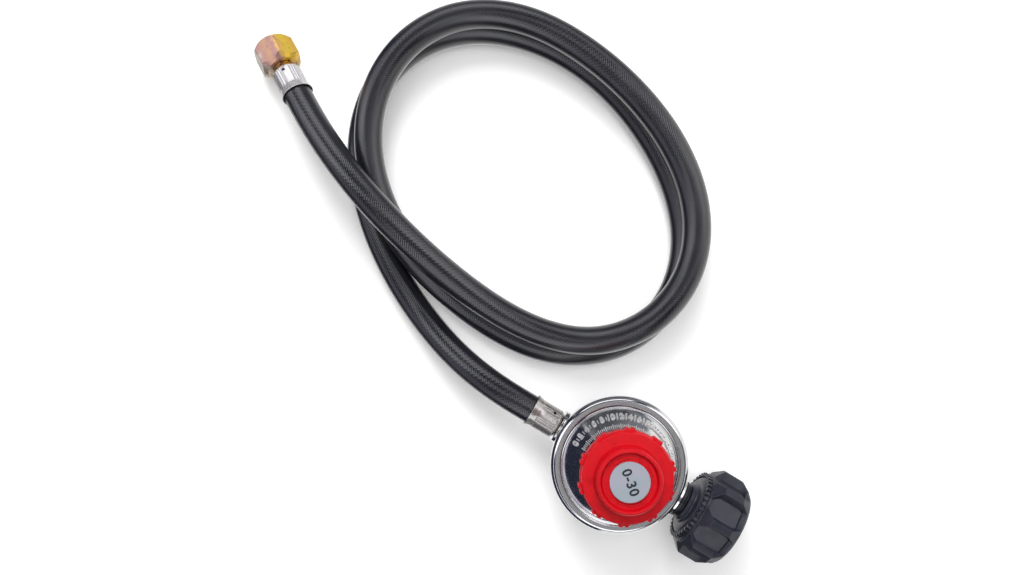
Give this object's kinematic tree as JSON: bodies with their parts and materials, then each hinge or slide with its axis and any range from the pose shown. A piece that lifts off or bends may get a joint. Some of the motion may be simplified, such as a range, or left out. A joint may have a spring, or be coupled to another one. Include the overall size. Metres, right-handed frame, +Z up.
{
  "type": "propane regulator hose",
  "caption": "Adjustable LP gas regulator with a red knob and a hand-tightened tank nut, on a coiled rubber hose that ends in a swivel flare nut.",
  "frame": {"origin": "centre of the regulator's flat round base, on the knob's axis", "axes": "+Z up the knob's axis, +X out of the inlet along the tank nut's axis; the hose leaves along -X and its loop lies towards +Y"},
  "size_m": [0.3205, 0.203, 0.072],
  "materials": {
    "zinc_plate": "bright plated zinc die casting",
    "spring_steel": "plain steel",
    "brass": "machined brass",
    "ferrule_nickel": "bright nickel plate",
    "yellow_zinc": "yellow and pink iridescent zinc plate",
    "knob_plastic": "red moulded plastic, satin gloss",
    "label": null,
    "nut_plastic": "charcoal moulded plastic, satin",
    "bushing_plastic": "black moulded plastic",
    "hose_rubber": "black rubber with a fine spiral textile imprint",
    "diaphragm_rubber": "moulded nitrile rubber"
  },
  "bodies": {
    "regulator": {"body_casting": "zinc_plate", "bonnet": "zinc_plate", "diaphragm": "diaphragm_rubber", "main_spring": "spring_steel", "lever_pin": "spring_steel", "inlet_nozzle": "brass", "inlet_nipple": "brass", "heat_bushing": "bushing_plastic", "flow_limiter_spring": "spring_steel", "flow_limiter_clip": "spring_steel", "outlet_barb": "brass", "regulator_ferrule": "ferrule_nickel", "regulator_hose_cuff": "hose_rubber", "hose": "hose_rubber", "far_hose_cuff": "hose_rubber", "far_ferrule": "ferrule_nickel", "flare_insert": "brass"},
    "spring_seat": {"spring_button": "spring_steel"},
    "knob": {"knob": "knob_plastic", "adjusting_screw": "spring_steel", "knob_screw": "spring_steel", "knob_label": "label"},
    "diaphragm_center": {"diaphragm_pan": "spring_steel", "diaphragm_stem": "brass"},
    "lever": {"valve_lever": "brass"},
    "valve": {"valve_carrier": "brass", "seat_disc": "diaphragm_rubber"},
    "tank_nut": {"tank_nut": "nut_plastic"},
    "flow_limiter": {"flow_limiter_poppet": "brass"},
    "flare_nut": {"flare_nut": "yellow_zinc"}
  },
  "joints": [
    {"name": "knob_turn", "type": "hinge", "parent": "spring_seat", "child": "knob", "pos_m": [0, 0, 0.06], "axis": [0, 0, 1], "range_deg": [-1080, 0]},
    {"name": "spring_seat_slide", "type": "slide", "parent": "regulator", "child": "spring_seat", "axis": [0, 0, 1], "range_m": [-0.0045, 0], "deforming": ["main_spring"]},
    {"name": "lever_pivot", "type": "hinge", "parent": "regulator", "child": "lever", "pos_m": [0.014, 0, 0.0162], "axis": [0, 1, 0], "range_deg": [-5, 0]},
    {"name": "diaphragm_slide", "type": "slide", "parent": "regulator", "child": "diaphragm_center", "axis": [0, 0, 1], "range_m": [-0.00122, 0], "deforming": ["diaphragm"]},
    {"name": "valve_slide", "type": "slide", "parent": "regulator", "child": "valve", "axis": [1, 0, 0], "range_m": [-0.0006, 0]},
    {"name": "tank_nut_turn", "type": "hinge", "parent": "regulator", "child": "tank_nut", "pos_m": [0.05, 0, 0.023], "axis": [1, 0, 0], "continuous": true},
    {"name": "flow_limiter_slide", "type": "slide", "parent": "regulator", "child": "flow_limiter", "axis": [-1, 0, 0], "range_m": [0, 0.0018], "stiffness_N_per_m": 60, "deforming": ["flow_limiter_spring"]},
    {"name": "flare_nut_turn", "type": "hinge", "parent": "regulator", "child": "flare_nut", "pos_m": [-0.24954, 0.08617, 0.01144], "axis": [-0.8377, 0.4607, -0.2932], "continuous": true}
  ],
  "couplings": [
    {"joint": "spring_seat_slide", "follows": "knob_turn", "m_per_rad": 0.00023873},
    {"joint": "lever_pivot", "follows": "diaphragm_slide", "rad_per_m": 71.429},
    {"joint": "valve_slide", "follows": "diaphragm_slide", "ratio": 0.48571}
  ]
}
